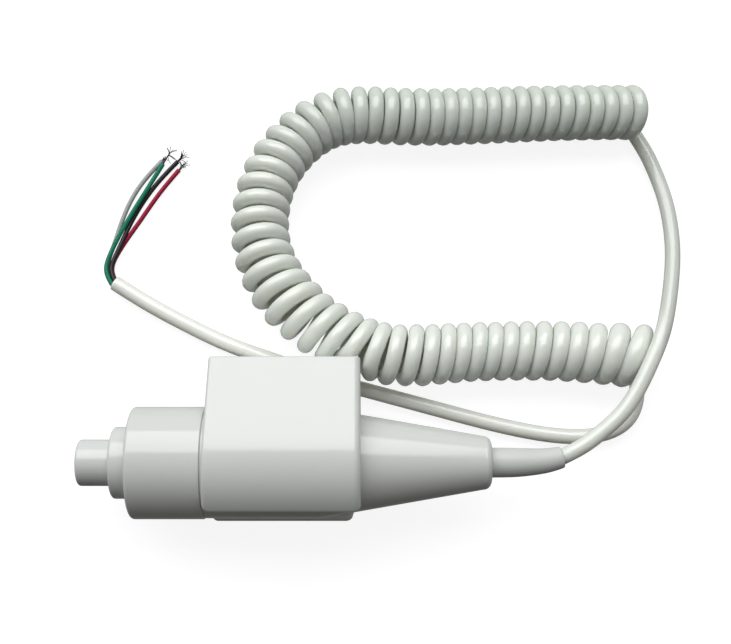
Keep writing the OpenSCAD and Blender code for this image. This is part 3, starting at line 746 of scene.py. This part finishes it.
def along_y(x, radius, start, end):
    """A cylinder along Y, from start to end behind the handle's axis, for a screw or its driver."""
    where = Matrix.Translation(Vector((x, AXIS_Y + (start + end) / 2, AXIS_Z)) * MM)
    where = where @ Matrix.Rotation(math.radians(90), 4, "X")
    return lambda bm: bmesh.ops.create_cone(bm, cap_ends=True, segments=48, radius1=radius * MM,
                                            radius2=radius * MM, depth=(end - start) * MM, matrix=where)


def web_slot(bm):
    """The slot through the web, which runs out at both ends of the holder."""
    where = Matrix.Translation(Vector((0, AXIS_Y + 25, AXIS_Z)) * MM)
    bmesh.ops.create_cube(bm, size=1, matrix=where @ Matrix.Diagonal((70 * MM, 8 * MM, 15 * MM, 1)))


def wall_holder():
    body = bpy.data.objects.new("holder_body", holder_mesh())
    scene.collection.objects.link(body)
    tools = [cutter("slot_cutter", web_slot)]
    for x in SCREWS_X:
        tools.append(cutter("screw_cutter", along_y(x, SCREW_R, 10, 34)))
        tools.append(cutter("driver_cutter", along_y(x, DRIVER_R, 0, 21.9)))
    for tool in tools:
        cut = body.modifiers.new("cut", "BOOLEAN")
        cut.operation = "DIFFERENCE"
        cut.solver = "EXACT"
        cut.object = tool
    applied = bpy.data.meshes.new_from_object(body.evaluated_get(bpy.context.evaluated_depsgraph_get()))
    for tool in tools + [body]:
        bpy.data.objects.remove(tool)
    return finish_mesh("wall_holder", applied, finishes["holder_white"], 30)


holder = wall_holder()
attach(holder, "holder")
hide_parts("holder")


# ---------------------------------------------------------------- floor and light, in metres
FLOOR_HALF, DOME_R = 5.5, 8.0


def add_floor():
    """White paper. It glows, so that shadows on it stay faint, but it lights nothing."""
    s = FLOOR_HALF
    mesh = bpy.data.meshes.new("floor")
    mesh.from_pydata([(-s, -s, 0), (s, -s, 0), (s, s, 0), (-s, s, 0)], [], [(0, 1, 2, 3)])
    mat, n = new_material("floor_paper")
    cloud = n.noise(n.add("ShaderNodeTexCoord").outputs["Object"], 4.0, 3.0)
    base = n.blend(n.remap(cloud, 0, 1), (0.27, 0.27, 0.27), (0.29, 0.29, 0.29))
    shader = n.add("ShaderNodeBsdfPrincipled", Base_Color=base, Roughness=0.9)
    shader.inputs["Specular IOR Level"].default_value = 0.1
    shader.inputs["Emission Color"].default_value = (1, 1, 1, 1)
    shader.inputs["Emission Strength"].default_value = 0.86
    n.surface(shader.outputs["BSDF"])
    mesh.materials.append(mat)
    floor = bpy.data.objects.new("floor", mesh)
    floor.visible_diffuse = False
    floor.visible_glossy = False
    scene.collection.objects.link(floor)


def add_light(name, tilt, aside, distance, width, depth, power):
    """A softbox that leans from the vertical towards +Y by its tilt, and stands aside along X."""
    aim = Vector((0.03, 0.03, 0.02))
    direction = Vector((0, math.sin(tilt), math.cos(tilt)))
    data = bpy.data.lights.new(name, "AREA")
    data.shape = "RECTANGLE"
    data.size = width
    data.size_y = depth
    data.energy = power
    light = bpy.data.objects.new(name, data)
    light.location = aim + direction * distance + Vector((aside, 0, 0))
    light.rotation_euler = direction.to_track_quat("Z", "Y").to_euler()
    scene.collection.objects.link(light)


def add_world():
    """Soft light from all round, brighter from above and from +Y."""
    world = bpy.data.worlds.new("studio")
    scene.world = world
    world.use_nodes = True
    n = Nodes(world.node_tree)
    ray = n.add("ShaderNodeTexCoord").outputs["Generated"]
    split = n.add("ShaderNodeSeparateXYZ", Vector=ray)
    up = n.remap(split.outputs["Z"], 0, 1, -0.3, 0.6)
    side = n.remap(split.outputs["Y"], 0, 1, -0.8, 0.7)
    low = n.blend(side, (0.010, 0.006, 0.006), (0.50, 0.51, 0.50))
    high = n.blend(side, (0.095, 0.092, 0.094), (0.56, 0.57, 0.57))
    background = n.add("ShaderNodeBackground", Color=n.blend(up, low, high), Strength=1.0)
    out = n.add("ShaderNodeOutputWorld")
    n.link(background.outputs["Background"], out.inputs["Surface"])


def add_backdrop():
    """A pale studio dome that only the camera sees, so the room looks plain from every side."""
    bm = bmesh.new()
    bmesh.ops.create_uvsphere(bm, u_segments=64, v_segments=32, radius=DOME_R, calc_uvs=False)
    mesh = bpy.data.meshes.new("backdrop")
    bm.to_mesh(mesh)
    bm.free()
    mesh.shade_smooth()
    mat, n = new_material("backdrop_paper")
    cloud = n.noise(n.add("ShaderNodeTexCoord").outputs["Object"], 0.3, 2.0)
    paper = n.blend(n.remap(cloud, 0, 1), (0.90, 0.90, 0.90), (0.94, 0.94, 0.94))
    n.surface(n.add("ShaderNodeEmission", Color=paper).outputs["Emission"])
    mesh.materials.append(mat)
    dome = bpy.data.objects.new("backdrop", mesh)
    for ray in ("diffuse", "glossy", "transmission", "volume_scatter", "shadow"):
        setattr(dome, "visible_" + ray, False)
    scene.collection.objects.link(dome)


add_floor()
add_backdrop()
add_world()
add_light("softbox", math.radians(40), -0.9, 2.5, 4.1, 2.16, 73)
scene.view_settings.view_transform = "Standard"
scene.view_settings.look = "None"
scene.view_settings.exposure = 0.0
